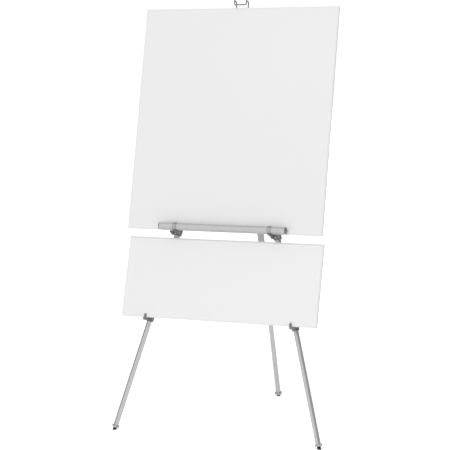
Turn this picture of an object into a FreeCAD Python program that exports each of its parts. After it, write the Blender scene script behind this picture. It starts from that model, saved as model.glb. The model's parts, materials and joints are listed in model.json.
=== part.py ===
import FreeCAD, Part
import Sketcher
import math
import os

# Three-legged folding display easel that carries two rigid boards, one above the other.
# Row frame: +Z up, origin on the floor under the middle of the easel, front of the boards
# towards -Y, left leg at -X. All sizes are in millimetres and degrees.
#
# Two working frames keep the rest simple:
#   face frame  X across, Y backwards, Z up along the tilted plane of the two front legs
#   leg frame   Z up along one leg from its foot on the floor, Y along its hub pivot pin

DRIVING = [
    # stance
    ("foot_radius", 482.0, "hub axis to where a leg's axis meets the floor"),
    ("pivot_radius", 42.0, "hub axis to a leg's pivot pin"),
    ("pivot_height", 1314.0, "pivot pins above the floor"),
    ("front_angle", 56.4, "turn of each front leg from straight ahead"),
    ("frame_back", 373.45, "front feet line to the row's origin, measured backwards"),
    # boards
    ("board_width", 762.0, "both boards"),
    ("board_thick", 5.0, "both boards"),
    ("upper_height", 845.0, "upper board"),
    ("lower_height", 303.0, "lower board"),
    ("upper_reach", 50.0, "front legs' plane to the upper board's lower front edge"),
    ("upper_foot", 757.0, "that edge, up the front legs' plane"),
    ("upper_lean", 2.9, "upper board's lean back from the front legs' plane"),
    ("lower_reach", 52.5, "front legs' plane to the lower board's lower front edge"),
    ("lower_foot", 429.0, "that edge, up the front legs' plane"),
    ("lower_lean", 6.2, "lower board's lean back from the front legs' plane"),
    ("rest_gap", 0.4, "air between a board and what it rests on"),
    # leg sections
    ("outer_rad", 11.1, "outer leg tube"),
    ("middle_rad", 9.5, "middle leg tube and mast"),
    ("inner_rad", 8.0, "inner leg tube"),
    ("wall", 1.0, "wall of the leg tubes and the mast"),
    ("slide_gap", 0.3, "air between pieces that slide"),
    ("fit_gap", 0.05, "air in fixed fits and on pivot pins"),
    ("front_lock", 664.0, "front legs: foot to the lower end of the twist lock"),
    ("rear_lock", 695.0, "rear leg: foot to the lower end of the twist lock"),
    ("middle_top", 905.0, "foot to the top of the middle tube"),
    ("inner_top", 420.0, "foot to the top of the inner tube"),
    ("tube_end", 12.3, "foot to the lower ends of the middle and inner tubes"),
    ("bush_flange", 12.0, "slide bush on top of a tube"),
    ("bush_plug", 18.0, "slide bush inside a tube"),
    # twist locks
    ("lock_rad", 12.6, "barrel of the upper twist lock"),
    ("lock_ring_rad", 13.3, "ring at its lower end"),
    ("lock_neck_rad", 12.1, "its upper end"),
    ("lock_length", 60.0, "upper twist lock"),
    ("lock_ring", 12.0, "its lower ring"),
    ("lock_taper", 8.0, "its tapered upper end"),
    ("lock_step", 14.0, "its lower end to the end of the outer tube"),
    ("foot_lock_rad", 13.7, "lower twist lock"),
    ("foot_lock_base", 10.0, "foot to the lower twist lock"),
    ("foot_lock_length", 9.5, "lower twist lock"),
    ("rib_high", 0.5, "grip ribs on both locks"),
    ("rib_wide", 1.6, "grip ribs on both locks"),
    # rubber tip
    ("tip_rad", 7.2, "rubber tip below the inner tube"),
    ("tip_plug", 20.0, "its plug inside the inner tube"),
    # knuckle, hub and pins
    ("tongue_thick", 10.0, "knuckle between the hub's ears"),
    ("tongue_rad", 10.0, "knuckle round the pivot pin"),
    ("knuckle_drop", 26.0, "pivot pin to the knuckle's flange"),
    ("knuckle_flange", 4.0, "flange that sits on the outer tube"),
    ("knuckle_plug", 25.0, "plug inside the outer tube"),
    ("ear_thick", 5.0, "hub's ears"),
    ("ear_gap", 0.4, "air each side of a knuckle"),
    ("ear_rad", 11.0, "hub's ears round the pivot pin"),
    ("pin_rad", 3.0, "hub pivot pins"),
    ("pin_head_rad", 5.6, "hub pivot pins"),
    ("pin_head", 2.2, "hub pivot pins"),
    ("web_half", 17.0, "block between the two front knuckles, half its width"),
    ("sleeve_rad", 14.5, "hub's sleeve round the mast"),
    ("sleeve_below", 24.0, "sleeve below the hub's centre"),
    ("sleeve_above", 46.0, "sleeve above the hub's centre"),
    ("rear_root", 8.0, "hub's centre to the root of the rear ears"),
    ("rear_bridge", 17.5, "hub's centre to the back of the block that joins them"),
    ("knob_down", 12.0, "top of the sleeve down to the mast's knob"),
    ("hub_boss_rad", 8.0, "boss under the mast's knob"),
    ("hub_boss", 3.0, "that boss proud of the sleeve"),
    # mast and hook
    ("mast_below", 190.0, "mast below the hub's centre"),
    ("mast_plug_rad", 11.5, "stop plug at the foot of the mast"),
    ("mast_plug", 8.0, "stop plug at the foot of the mast"),
    ("head_half", 33.0, "hook block, half its width"),
    ("head_high", 28.0, "hook block"),
    ("head_drop", 6.0, "upper board's top to the hook block's top"),
    ("head_cap", 4.0, "closed top of the hook block over the mast"),
    ("head_back", 13.5, "hook block behind the mast's axis"),
    ("hook_half", 23.4, "hook wires, half their spacing"),
    ("wire_rad", 2.2, "hook's loop and prongs"),
    ("post_rad", 2.0, "hook's posts and forward arms"),
    ("post_back", 6.0, "front legs' plane to the hook posts, backwards"),
    ("prong_out", 17.0, "front legs' plane to the prongs, forwards"),
    ("post_rise", 25.0, "board's top to the forward arms"),
    ("loop_drop", 15.0, "forward arms to the bottom of the loop"),
    ("prong_length", 20.0, "prongs above the forward arms"),
    ("prong_lean", 12.0, "prongs lean forwards there"),
    ("lean_above", 2.0, "forward arms' tops to where the lean starts"),
    ("wire_bend", 6.0, "bends in the hook wire"),
    ("post_depth", 18.0, "posts' holes in the hook block"),
    ("post_wall", 7.0, "hook block behind the posts' axes"),
    # tray
    ("bar_rad", 11.5, "tray bar"),
    ("bar_wall", 1.2, "tray bar"),
    ("bar_length", 489.0, "tray bar between its end caps"),
    ("bar_rise", 14.2, "upper board's lower edge to the bar's axis"),
    ("bar_cap_rad", 12.1, "tray bar's end caps"),
    ("bar_cap", 3.2, "tray bar's end caps"),
    ("bar_cap_plug", 14.0, "plug of a cap inside the bar"),
    ("band_wall", 1.8, "band round the bar"),
    ("band_half", 6.6, "band round the bar, half its width"),
    ("arm_half", 16.0, "tray arm's block, half its width"),
    ("arm_high", 15.5, "tray arm's block at the leg"),
    ("arm_reach", 44.0, "front legs' plane to the front of the block"),
    ("arm_front_high", 6.0, "block's front face"),
    ("arm_slope", 4.5, "flat part of the block's underside"),
    ("nose_half", 5.2, "nose from the block to the band, half its width"),
    ("nose_high", 5.5, "that nose"),
    ("nose_root", 6.0, "nose's root inside the block"),
    ("nose_lip", 5.0, "nose above the shelf in front of the board"),
    ("nose_ahead", 7.0, "nose in front of the bar's axis"),
    ("nose_chin", 4.0, "nose's underside behind the bar's axis"),
    ("nose_brow", 1.5, "nose's front edge below the shelf"),
    ("nose_inboard", 11.5, "leg's axis to the middle of the nose and band"),
    ("eye_thick", 8.0, "block's wall on its pin"),
    ("eye_pin_rad", 3.0, "tray arm's pin"),
    ("eye_pin_head_rad", 4.9, "head of that pin"),
    ("eye_pin_head", 2.2, "head of that pin"),
    ("head_air", 0.5, "air round a pin's head in its recess"),
    ("face_air", 0.5, "air between a boss and an arm, and under a pin's head"),
    ("clamp_wall", 4.2, "clamps round the leg tubes"),
    ("clamp_below", 8.0, "tray clamp below its pin"),
    ("clamp_above", 40.0, "tray clamp above its pin"),
    ("knob_above", 28.0, "tray clamp's knob above its pin"),
    ("knob_boss_rad", 7.5, "tray clamp's boss under the knob"),
    ("knob_boss_stand", 3.5, "that boss proud of the barrel"),
    ("boss_rad", 7.5, "clamp's flat boss behind an eye"),
    ("boss_stand", 0.9, "clamp's boss proud of its barrel"),
    # clamp knobs
    ("knob_rad", 11.0, "knob's core"),
    ("knob_lobe_rad", 3.6, "knob's lobes"),
    ("knob_thick", 11.0, "knob"),
    ("knob_neck", 5.0, "knob's neck"),
    ("knob_neck_rad", 6.5, "knob's neck"),
    ("knob_stand", 6.5, "clamp's barrel to the knob's neck"),
    ("knob_tip_air", 0.4, "tip of the knob's screw to the tube"),
    ("knob_screw_rad", 2.95, "knob's screw"),
    # lower board's clips
    ("clip_half", 6.0, "clip arm, half its width"),
    ("clip_high", 10.0, "clip arm"),
    ("clip_heel", 2.0, "clip arm's heel below its beam"),
    ("clip_heel_long", 10.0, "flat part of the heel's underside"),
    ("clip_chin", 10.0, "slope under the front of the beam"),
    ("clip_front_high", 6.0, "beam's front face"),
    ("clip_lip", 4.2, "clip's lip, its thickness"),
    ("lip_gap", 1.4, "slack between the lower board and the clip's lip"),
    ("clip_lip_rise", 14.0, "clip's lip above the arm"),
    ("lip_foot_half", 4.2, "clip's lip at its foot, half its width"),
    ("lip_top_half", 2.6, "clip's lip at its top, half its width"),
    ("lip_inboard", 2.0, "leg's axis to the middle of the lip"),
    ("clip_eye_rad", 8.0, "clip arm's eye"),
    ("clip_eye_thick", 8.0, "clip arm's eye"),
    ("clip_pin_rad", 2.8, "clip arm's pin"),
    ("clip_pin_head_rad", 4.6, "head of that pin"),
    ("clip_pin_head", 2.2, "head of that pin"),
    ("clip_head_room", 4.0, "recess in the beam for that head"),
    ("clip_clamp_half", 8.5, "clip's clamp, half its length"),
    ("clip_boss_rad", 7.0, "clip clamp's boss"),
    ("ear_half", 5.5, "clip clamp's pinched ears, half their width"),
    ("ear_stand", 6.0, "those ears proud of the barrel"),
    ("ear_slot_half", 0.8, "slot between them, half its width"),
    ("screw_rad", 1.5, "screw through the ears"),
    ("screw_head_rad", 2.7, "its head"),
    ("screw_head", 2.4, "its head"),
    ("screw_stand", 2.9, "clamp's barrel to the screw's axis"),
]

doc = FreeCAD.newDocument("display_easel")
sheet = doc.addObject("Spreadsheet::Sheet", "dims")


class Dim:
    """A size from the sheet: its number now, and the expression that binds a feature to it."""

    def __init__(self, value, text):
        self.value = value
        self.text = text

    def __add__(self, other):
        other = dim(other)
        return Dim(self.value + other.value, f"({self.text} + {other.text})")

    def __sub__(self, other):
        other = dim(other)
        return Dim(self.value - other.value, f"({self.text} - {other.text})")

    def __mul__(self, other):
        other = dim(other)
        return Dim(self.value * other.value, f"({self.text} * {other.text})")

    def __truediv__(self, other):
        other = dim(other)
        return Dim(self.value / other.value, f"({self.text} / {other.text})")

    def __neg__(self):
        return Dim(-self.value, f"(0 - {self.text})")

    def __radd__(self, other):
        return dim(other) + self

    def __rsub__(self, other):
        return dim(other) - self

    def __rmul__(self, other):
        return dim(other) * self


def dim(value):
    if isinstance(value, Dim):
        return value
    return Dim(float(value), f"{float(value):.6f}")


class Sizes:
    """Each driving dimension of the sheet, by its alias."""


size = Sizes()
for row_number, (alias, number, meaning) in enumerate(DRIVING, start=1):
    sheet.set(f"A{row_number}", alias)
    sheet.set(f"B{row_number}", str(number))
    sheet.set(f"C{row_number}", meaning)
    sheet.setAlias(f"B{row_number}", alias)
    setattr(size, alias, Dim(number, f"dims.{alias}"))
doc.recompute()

# ---------------------------------------------------------------- frames

X = FreeCAD.Vector(1, 0, 0)
Y = FreeCAD.Vector(0, 1, 0)
Z = FreeCAD.Vector(0, 0, 1)

phi = math.radians(size.front_angle.value)
leg_run = size.foot_radius.value - size.pivot_radius.value
face_tilt = math.degrees(math.atan2(leg_run * math.cos(phi), size.pivot_height.value))
face_rise = math.hypot(size.pivot_height.value, leg_run * math.cos(phi))
leg_splay = math.degrees(math.atan2(leg_run * math.sin(phi), face_rise))
rear_splay = math.degrees(math.atan2(leg_run, size.pivot_height.value))
leg_length = math.hypot(size.pivot_height.value, leg_run)
foot_side = size.foot_radius.value * math.sin(phi)
hub_forward = size.foot_radius.value * math.cos(phi)
pivot_ahead = size.pivot_radius.value * math.cos(phi)


def turned(axis, degrees):
    return FreeCAD.Placement(FreeCAD.Vector(0, 0, 0), FreeCAD.Rotation(axis, degrees))


def moved(x, y, z):
    return FreeCAD.Placement(FreeCAD.Vector(x, y, z), FreeCAD.Rotation())


face_frame = moved(0, -size.frame_back.value, 0) * turned(X, -face_tilt)
leg_frames = {
    "left": face_frame * moved(-foot_side, 0, 0) * turned(Y, leg_splay),
    "right": face_frame * moved(foot_side, 0, 0) * turned(Y, -leg_splay),
    "rear": moved(0, hub_forward + size.foot_radius.value - size.frame_back.value, 0)
    * turned(X, rear_splay)
    * turned(Z, -90),
}
# The hub's own frame is parallel to the face frame, with the mast's axis along Z.
hub_back = pivot_ahead * math.cos(math.radians(face_tilt))
hub_up = face_rise + pivot_ahead * math.sin(math.radians(face_tilt))
hub_frame = face_frame * moved(0, hub_back, hub_up)


def face_height_to_leg(height):
    """A height up the face frame, as a length along a front leg from its foot."""
    return height / math.cos(math.radians(leg_splay))


# ---------------------------------------------------------------- building blocks

nodes = {}


def keep(name, obj, frame):
    """Name a finished sub-part and put it in its frame."""
    obj.Label = name
    obj.Placement = frame
    nodes[name] = obj
    return obj


def set_size(obj, **sizes):
    for prop, value in sizes.items():
        value = dim(value)
        setattr(obj, prop, value.value)
        obj.setExpression(prop, value.text)


def place(obj, x, y, z, axis=Z):
    """Put a primitive with its own Z along axis and its base at a point, all bound to the sheet."""
    point = [dim(x), dim(y), dim(z)]
    obj.Placement = FreeCAD.Placement(
        FreeCAD.Vector(*[c.value for c in point]), FreeCAD.Rotation(Z, axis)
    )
    for letter, coordinate in zip("xyz", point):
        obj.setExpression(f"Placement.Base.{letter}", coordinate.text)
    return obj


def cylinder(radius, height, x=0, y=0, z=0, axis=Z):
    obj = doc.addObject("Part::Cylinder", "round")
    set_size(obj, Radius=radius, Height=height)
    return place(obj, x, y, z, axis)


def cone(low_radius, high_radius, height, x=0, y=0, z=0, axis=Z):
    obj = doc.addObject("Part::Cone", "taper")
    set_size(obj, Radius1=low_radius, Radius2=high_radius, Height=height)
    return place(obj, x, y, z, axis)


def box(x_low, x_high, y_low, y_high, z_low, z_high):
    obj = doc.addObject("Part::Box", "block")
    set_size(
        obj,
        Length=dim(x_high) - dim(x_low),
        Width=dim(y_high) - dim(y_low),
        Height=dim(z_high) - dim(z_low),
    )
    return place(obj, x_low, y_low, z_low)


def fuse(*pieces):
    obj = doc.addObject("Part::MultiFuse", "joined")
    obj.Shapes = list(pieces)
    obj.Refine = True
    return obj


def cut(base, *tools):
    obj = doc.addObject("Part::Cut", "cut")
    obj.Base = base
    obj.Tool = tools[0] if len(tools) == 1 else fuse(*tools)
    obj.Refine = True
    return obj


def group(*pieces):
    obj = doc.addObject("Part::Compound", "group")
    obj.Links = list(pieces)
    return obj


def tube(outer, inner, low, high):
    return cut(
        cylinder(outer, dim(high) - dim(low), z=low),
        cylinder(inner, dim(high) - dim(low) + 2, z=dim(low) - 1),
    )


def new_body():
    return doc.addObject("PartDesign::Body", "body")


def plane_of(body, role):
    return next(f for f in body.Origin.OriginFeatures if f.Role == role)


def new_sketch(body, role, offset=None):
    sketch = body.newObject("Sketcher::SketchObject", "sketch")
    sketch.AttachmentSupport = [(plane_of(body, role), "")]
    sketch.MapMode = "FlatFace"
    if offset is not None:
        offset = dim(offset)
        sketch.AttachmentOffset = moved(0, 0, offset.value)
        sketch.setExpression("AttachmentOffset.Base.z", offset.text)
    return sketch


def pin_point(sketch, geometry, corner, x, y):
    """Hold one point of a sketch at a place taken from the sheet."""
    for kind, value in (("DistanceX", dim(x)), ("DistanceY", dim(y))):
        index = sketch.addConstraint(
            Sketcher.Constraint(kind, -1, 1, geometry, corner, value.value)
        )
        sketch.setExpression(f"Constraints[{index}]", value.text)


def polygon(sketch, points):
    """A closed outline through the points, each held by the sheet."""
    points = [(dim(x), dim(y)) for x, y in points]
    corners = [FreeCAD.Vector(x.value, y.value, 0) for x, y in points]
    first = sketch.GeometryCount
    count = len(points)
    for i, corner in enumerate(corners):
        sketch.addGeometry(Part.LineSegment(corner, corners[(i + 1) % count]), False)
    for i in range(count):
        following = first + (i + 1) % count
        sketch.addConstraint(Sketcher.Constraint("Coincident", first + i, 2, following, 1))
    for i, (x, y) in enumerate(points):
        pin_point(sketch, first + i, 1, x, y)


def circle(sketch, x, y, radius):
    x, y, radius = dim(x), dim(y), dim(radius)
    centre = FreeCAD.Vector(x.value, y.value, 0)
    index = sketch.addGeometry(Part.Circle(centre, Z, radius.value), False)
    pin_point(sketch, index, 3, x, y)
    bound = sketch.addConstraint(Sketcher.Constraint("Radius", index, radius.value))
    sketch.setExpression(f"Constraints[{bound}]", radius.text)


def pad(body, sketch, length, both_ways=False, reverse=False):
    feature = body.newObject("PartDesign::Pad", "pad")
    feature.Profile = sketch
    if both_ways:
        feature.SideType = "Symmetric"
    feature.Reversed = reverse
    set_size(feature, Length=length)
    return feature


def pocket_through(body, sketch):
    feature = body.newObject("PartDesign::Pocket", "pocket")
    feature.Profile = sketch
    feature.Type = "ThroughAll"
    feature.SideType = "Symmetric"
    return feature


def revolve(body, sketch):
    feature = body.newObject("PartDesign::Revolution", "turned")
    feature.Profile = sketch
    feature.ReferenceAxis = (sketch, ["V_Axis"])
    feature.Angle = 360
    return feature


def ring_of(body, feature, count):
    """Repeat a feature evenly round the body's Z axis."""
    pattern = body.newObject("PartDesign::PolarPattern", "ring")
    pattern.Originals = [feature]
    pattern.Axis = (plane_of(body, "Z_Axis"), [""])
    pattern.Angle = 360
    pattern.Occurrences = count
    body.Tip = pattern
    return pattern


# ---------------------------------------------------------------- leg parts

outer_bore = size.outer_rad - size.wall
middle_bore = size.middle_rad - size.wall
inner_bore = size.inner_rad - size.wall


def outer_tube(name, frame, lock_base):
    low = lock_base + size.lock_step + size.slide_gap
    high = leg_length - size.knuckle_drop - size.knuckle_flange
    keep(name, tube(size.outer_rad, outer_bore, low, high), frame)


def knuckle(name, frame):
    """Plug, flange and tongue of a leg's upper end, bored for the hub's pivot pin."""
    body = new_body()
    flange_base = leg_length - size.knuckle_drop - size.knuckle_flange
    plug = new_sketch(body, "XY_Plane", flange_base - size.knuckle_plug)
    circle(plug, 0, 0, outer_bore - size.fit_gap)
    pad(body, plug, size.knuckle_plug)
    flange = new_sketch(body, "XY_Plane", flange_base)
    circle(flange, 0, 0, size.outer_rad)
    pad(body, flange, size.knuckle_flange)
    tongue = new_sketch(body, "XZ_Plane")
    neck = leg_length - size.knuckle_drop
    half = size.tongue_rad
    corners = [(-half, neck - 1), (half, neck - 1), (half, leg_length), (-half, leg_length)]
    polygon(tongue, corners)
    pad(body, tongue, size.tongue_thick, both_ways=True)
    eye = new_sketch(body, "XZ_Plane")
    circle(eye, 0, leg_length, size.tongue_rad)
    pad(body, eye, size.tongue_thick, both_ways=True)
    bore = new_sketch(body, "XZ_Plane")
    circle(bore, 0, leg_length, size.pin_rad + size.fit_gap)
    pocket_through(body, bore)
    keep(name, body, frame)


def upper_lock(name, frame):
    """Twist lock that grips the middle tube where it leaves the outer tube."""
    body = new_body()
    outline = new_sketch(body, "XZ_Plane")
    lower_bore = size.middle_rad + size.slide_gap
    upper_bore = size.outer_rad + size.slide_gap
    chamfer = 1.2
    polygon(
        outline,
        [
            (lower_bore, 0),
            (size.lock_ring_rad - chamfer, 0),
            (size.lock_ring_rad, chamfer),
            (size.lock_ring_rad, size.lock_ring - chamfer),
            (size.lock_rad - chamfer, size.lock_ring),
            (size.lock_rad - chamfer, size.lock_ring + chamfer),
            (size.lock_rad, size.lock_ring + 2 * chamfer),
            (size.lock_rad, size.lock_length - size.lock_taper),
            (size.lock_neck_rad, size.lock_length),
            (upper_bore, size.lock_length),
            (upper_bore, size.lock_step),
            (lower_bore, size.lock_step),
        ],
    )
    revolve(body, outline)
    rib_base = size.lock_ring + 4 * chamfer
    rib = new_sketch(body, "XY_Plane", rib_base)
    half = size.rib_wide / 2
    reach = size.lock_rad + size.rib_high
    polygon(rib, [(size.lock_rad - 1, -half), (reach, -half), (reach, half), (size.lock_rad - 1, half)])
    first = pad(body, rib, size.lock_length - size.lock_taper - rib_base - chamfer)
    ring_of(body, first, 12)
    keep(name, body, frame)


def foot_lock(name, frame):
    """Flared twist lock at the lower end of the middle tube."""
    body = new_body()
    outline = new_sketch(body, "XZ_Plane")
    lip_bore = size.inner_rad + size.slide_gap
    bore = size.middle_rad + size.slide_gap
    seat = size.tube_end - size.foot_lock_base - size.slide_gap
    top = size.foot_lock_length
    chamfer = 1.4
    polygon(
        outline,
        [
            (lip_bore, 0),
            (size.foot_lock_rad - 2 * chamfer, 0),
            (size.foot_lock_rad, chamfer),
            (size.foot_lock_rad, top - 2 * chamfer),
            (size.foot_lock_rad - chamfer, top - chamfer),
            (bore + chamfer, top),
            (bore, top),
            (bore, seat),
            (lip_bore, seat),
        ],
    )
    revolve(body, outline)
    rib = new_sketch(body, "XY_Plane", chamfer)
    half = size.rib_wide / 2
    root = size.foot_lock_rad - 1
    reach = size.foot_lock_rad + size.rib_high
    polygon(rib, [(root, -half), (reach, -half), (reach, half), (root, half)])
    first = pad(body, rib, top - 3 * chamfer)
    ring_of(body, first, 10)
    keep(name, body, frame)


def slide_bush(name, frame, tube_top, flange_radius, plug_radius):
    """Plastic guide pressed into the top of a sliding tube."""
    flange = cylinder(flange_radius, size.bush_flange, z=tube_top)
    plug = cylinder(plug_radius, size.bush_plug, z=dim(tube_top) - size.bush_plug)
    bore = cylinder(plug_radius - 2.5, 200, z=dim(tube_top) - 100)
    keep(name, cut(fuse(flange, plug), bore), frame)


def foot_tip(name, frame):
    """Rubber tip: a plug in the inner tube and a stub that the floor plane cuts off flat."""
    stub = cylinder(size.tip_rad, size.tube_end + 4, z=-4)
    plug = cylinder(inner_bore - size.fit_gap, size.tip_plug + 1, z=size.tube_end - 1)
    whole = fuse(stub, plug)
    whole.Placement = frame
    room = doc.addObject("Part::Box", "above_floor")
    room_side = 80
    set_size(room, Length=room_side, Width=room_side, Height=room_side)
    base = frame.Base
    room.Placement = moved(base.x - room_side / 2, base.y - room_side / 2, 0)
    tip = doc.addObject("Part::Common", "tip")
    tip.Base = whole
    tip.Tool = room
    keep(name, tip, FreeCAD.Placement())


for side, frame in leg_frames.items():
    lock_base = size.rear_lock if side == "rear" else size.front_lock
    outer_tube(f"{side}_outer_tube", frame, lock_base)
    knuckle(f"{side}_knuckle", frame)
    upper_lock(f"{side}_upper_lock", frame * moved(0, 0, lock_base.value))
    keep(
        f"{side}_middle_tube",
        tube(size.middle_rad, middle_bore, size.tube_end, size.middle_top),
        frame,
    )
    slide_bush(
        f"{side}_middle_bush",
        frame,
        size.middle_top,
        outer_bore - size.slide_gap,
        middle_bore - size.fit_gap,
    )
    foot_lock(f"{side}_foot_lock", frame * moved(0, 0, size.foot_lock_base.value))
    keep(
        f"{side}_inner_tube",
        tube(size.inner_rad, inner_bore, size.tube_end, size.inner_top),
        frame,
    )
    slide_bush(
        f"{side}_inner_bush",
        frame,
        size.inner_top,
        middle_bore - size.slide_gap,
        inner_bore - size.fit_gap,
    )
    foot_tip(f"{side}_foot_tip", frame)

# ---------------------------------------------------------------- hub and pivot pins

front_pivot = (size.pivot_radius.value * math.sin(phi), -hub_back, face_rise - hub_up)
rear_back = (pivot_ahead + size.pivot_radius.value) * math.cos(math.radians(face_tilt)) - hub_back
rear_up = size.pivot_radius.value * math.sin(math.radians(face_tilt))
ear_in = size.tongue_thick / 2 + size.ear_gap
ear_out = ear_in + size.ear_thick


def front_plate(low, high):
    """One of the two plates that hold both front pins: a long rounded plate across the hub."""
    x, y, z = front_pivot
    plate = box(-x, x, y + low, y + high, z - size.ear_rad, z + size.ear_rad)
    ends = [cylinder(size.ear_rad, high - low, s * x, y + low, z, Y) for s in (-1, 1)]
    # A cylinder set along Y starts at its lower Y end.
    return fuse(plate, *ends)


def rear_ear(low, high):
    ear = cylinder(size.ear_rad, high - low, low, rear_back, rear_up, X)
    arm = box(low, high, size.rear_root, rear_back, rear_up - size.ear_rad, rear_up + size.ear_rad)
    return fuse(ear, arm)


x, y, z = front_pivot
bridge_low = rear_up - size.ear_rad
bridge_high = rear_up + size.ear_rad
hub_solid = fuse(
    front_plate(-ear_out, -ear_in),
    front_plate(ear_in, ear_out),
    box(-size.web_half, size.web_half, y - ear_out, y + ear_out, z - size.ear_rad, z + size.ear_rad),
    cylinder(size.sleeve_rad, size.sleeve_below + size.sleeve_above, z=-size.sleeve_below),
    rear_ear(-ear_out, -ear_in),
    rear_ear(ear_in, ear_out),
    box(-ear_out, ear_out, size.rear_root, size.rear_bridge, bridge_low, bridge_high),
)
pin_bore = size.pin_rad + size.fit_gap
knob_height = size.sleeve_above - size.knob_down
boss_root = size.sleeve_rad - 2
hub_boss = cylinder(size.hub_boss_rad, size.hub_boss + 2, boss_root, 0, knob_height, X)
hub = cut(
    fuse(hub_solid, hub_boss),
    cylinder(size.middle_rad + size.slide_gap, 200, z=-100),
    cylinder(pin_bore, 60, -x, y - 30, z, Y),
    cylinder(pin_bore, 60, x, y - 30, z, Y),
    cylinder(pin_bore, 60, -30, rear_back, rear_up, X),
    cylinder(size.knob_screw_rad + size.fit_gap, 30, 5, 0, knob_height, X),
)
keep("hub", hub, hub_frame)


def pivot_pin(x, y, z, axis):
    """Shouldered pin through two ears, with a head on one side and a clip on the other."""
    start = FreeCAD.Vector(x, y, z) - axis * ear_out.value
    clear = size.fit_gap.value
    stop = FreeCAD.Vector(x, y, z) + axis * (ear_out.value + clear)
    head_at = start - axis * (size.pin_head.value + clear)
    shaft = cylinder(size.pin_rad, 2 * ear_out + 2, *start - axis, axis)
    head = cylinder(size.pin_head_rad, size.pin_head, *head_at, axis)
    clip = cylinder(size.pin_head_rad - 1, size.pin_head / 2, *stop, axis)
    return fuse(shaft, head, clip)


pins = group(
    pivot_pin(-x, y, z, Y), pivot_pin(x, y, z, Y), pivot_pin(0, rear_back, rear_up, X)
)
keep("leg_pivot_pins", pins, hub_frame)

# ---------------------------------------------------------------- mast and hook

upper_lean = math.radians(size.upper_lean.value)
board_top = size.upper_foot.value + size.upper_height.value * math.cos(upper_lean)
board_top_back = (
    size.upper_reach.value
    - size.upper_height.value * math.sin(upper_lean)
    - size.board_thick.value * math.cos(upper_lean)
)
head_top = board_top - size.head_drop
mast_top = head_top - size.head_cap
mast_frame = face_frame * moved(0, hub_back, 0)

keep(
    "mast_tube",
    tube(size.middle_rad, middle_bore, hub_up - size.mast_below, mast_top),
    mast_frame,
)
plug_base = hub_up - size.mast_below - size.mast_plug
mast_plug = fuse(
    cylinder(size.mast_plug_rad, size.mast_plug, z=plug_base),
    cylinder(middle_bore - size.fit_gap, 20, z=plug_base + size.mast_plug - 1),
)
keep("mast_plug", mast_plug, mast_frame)

# Hook block: a moulded head pressed on the mast, its flat front just behind the board's top.
head_front = -(hub_back + board_top_back - size.rest_gap)
post_y = size.post_back - hub_back
post_bore = size.post_rad + size.fit_gap
block_base = head_top - size.head_high
through = 100
block = fuse(
    box(-size.head_half, size.head_half, head_front, post_y + size.post_wall, block_base, head_top),
    cylinder(size.head_back, size.head_high, z=block_base),
    box(-size.head_back, size.head_back, post_y, 0, block_base, head_top),
)
hook_block = cut(
    block,
    cylinder(size.middle_rad + size.fit_gap, through, z=mast_top - through),
    cylinder(post_bore, through, -size.hook_half, post_y, head_top - size.post_depth, Z),
    cylinder(post_bore, through, size.hook_half, post_y, head_top - size.post_depth, Z),
)
keep("hook_block", hook_block, mast_frame)


def bent_path(corners, bend):
    """Straight runs through the corners, joined by tangent arcs of one radius."""
    edges = []
    start = corners[0]
    for before, corner, after in zip(corners, corners[1:], corners[2:]):
        into = (corner - before).normalize()
        out = (after - corner).normalize()
        half_turn = math.acos(max(-1.0, min(1.0, into.dot(out)))) / 2
        inset = bend * math.tan(half_turn)
        arc_start = corner - into * inset
        arc_end = corner + out * inset
        toward = (out - into).normalize()
        centre = corner + toward * (bend / math.cos(half_turn))
        arc_middle = centre - toward * bend
        edges.append(Part.LineSegment(start, arc_start).toShape())
        edges.append(Part.Arc(arc_start, arc_middle, arc_end).toShape())
        start = arc_end
    edges.append(Part.LineSegment(start, corners[-1]).toShape())
    return Part.Wire(edges)


def bent_wire(corners, bend, radius):
    """Round wire swept along a bent path."""
    path = doc.addObject("Part::Feature", "path")
    path.Shape = bent_path(corners, bend)
    profile = doc.addObject("Part::Circle", "profile")
    set_size(profile, Radius=radius)
    direction = corners[1] - corners[0]
    profile.Placement = FreeCAD.Placement(corners[0], FreeCAD.Rotation(Z, direction))
    wire = doc.addObject("Part::Sweep", "wire")
    wire.Sections = [profile]
    wire.Spine = (path, [f"Edge{i + 1}" for i in range(len(path.Shape.Edges))])
    wire.Solid = True
    wire.Frenet = False
    return wire


half = size.hook_half.value
prong_y = -size.prong_out.value - hub_back
arm_z = board_top + size.post_rise.value
loop_z = arm_z - size.loop_drop.value
lean = math.radians(size.prong_lean.value)
lean_z = arm_z + size.wire_rad.value + size.lean_above.value
tip_y = prong_y - size.prong_length.value * math.sin(lean)
tip_z = lean_z + size.prong_length.value * math.cos(lean)
post_z = head_top.value - size.post_depth.value + size.rest_gap.value
bend = size.wire_bend.value
vector = FreeCAD.Vector
loop_corners = [
    vector(-half, tip_y, tip_z),
    vector(-half, prong_y, lean_z),
    vector(-half, prong_y, loop_z),
    vector(half, prong_y, loop_z),
    vector(half, prong_y, lean_z),
    vector(half, tip_y, tip_z),
]
hook_pieces = [bent_wire(loop_corners, bend, size.wire_rad)]
for s in (-1, 1):
    post = [
        vector(s * half, post_y.value, post_z),
        vector(s * half, post_y.value, arm_z),
        vector(s * half, prong_y, arm_z),
    ]
    hook_pieces.append(bent_wire(post, bend, size.post_rad))
    tip = doc.addObject("Part::Sphere", "tip")
    set_size(tip, Radius=size.wire_rad)
    tip.Placement = moved(s * half, tip_y, tip_z) * turned(X, size.prong_lean.value)
    hook_pieces.append(tip)
keep("hook_wire", fuse(*hook_pieces), mast_frame)


# ---------------------------------------------------------------- clamp knobs


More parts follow.
